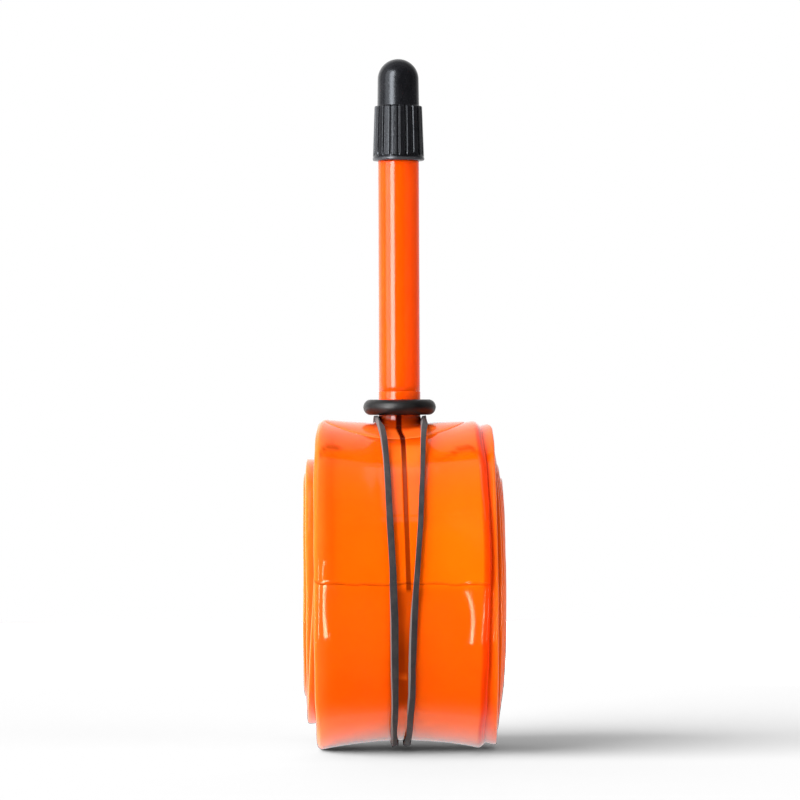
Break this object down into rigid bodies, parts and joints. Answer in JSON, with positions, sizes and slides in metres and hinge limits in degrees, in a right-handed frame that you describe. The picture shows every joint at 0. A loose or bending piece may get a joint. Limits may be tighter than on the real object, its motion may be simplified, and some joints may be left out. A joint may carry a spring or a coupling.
{
  "type": "bicycle inner tube",
  "caption": "Thin-film bicycle inner tube, rolled up and held by a rubber band, with a smooth plastic valve, O-ring and dust cap.",
  "frame": {"origin": "on the valve's axis, in the plane that the roll rests on, at the bottom centre of the part's box", "axes": "+Z along the valve's axis, from the roll to the cap; X along the roll's axis, +X to the right seen from the front; -Y is the front"},
  "size_m": [0.03, 0.0475, 0.1008],
  "materials": {
    "film": "very glossy, slightly translucent thin film",
    "valve_plastic": "satin-gloss moulded plastic",
    "core_metal": "nickel-plated, satin",
    "cap_plastic": "satin moulded plastic",
    "seal_rubber": "smooth satin rubber",
    "band_rubber": "matt, slightly dusty rubber"
  },
  "bodies": {
    "roll": {"hose_outer_turn": "film", "hose_second_turn": "film", "hose_left_run": "film", "hose_right_run": "film", "hose_core_fold": "film", "hose_outer_fold": "film", "hose_lap_joint": "film", "valve_base": "valve_plastic", "valve_stem": "valve_plastic", "core_body": "core_metal", "core_gasket": "seal_rubber", "rubber_band": "band_rubber"},
    "cap": {"dust_cap": "cap_plastic"},
    "ring": {"o_ring": "seal_rubber"},
    "pin": {"core_pin": "core_metal", "pin_seal": "seal_rubber"},
    "nut": {"lock_nut": "core_metal"}
  },
  "joints": [
    {"name": "cap_pull", "type": "slide", "parent": "roll", "child": "cap", "axis": [0, 0, 1], "range_m": [0, 0.04]},
    {"name": "ring_slide", "type": "slide", "parent": "roll", "child": "ring", "axis": [0, 0, 1], "range_m": [0, 0.034]},
    {"name": "pin_press", "type": "slide", "parent": "roll", "child": "pin", "axis": [0, 0, 1], "range_m": [-0.001, 0]},
    {"name": "nut_unscrew", "type": "slide", "parent": "roll", "child": "nut", "axis": [0, 0, 1], "range_m": [0, 0.0008]}
  ]
}
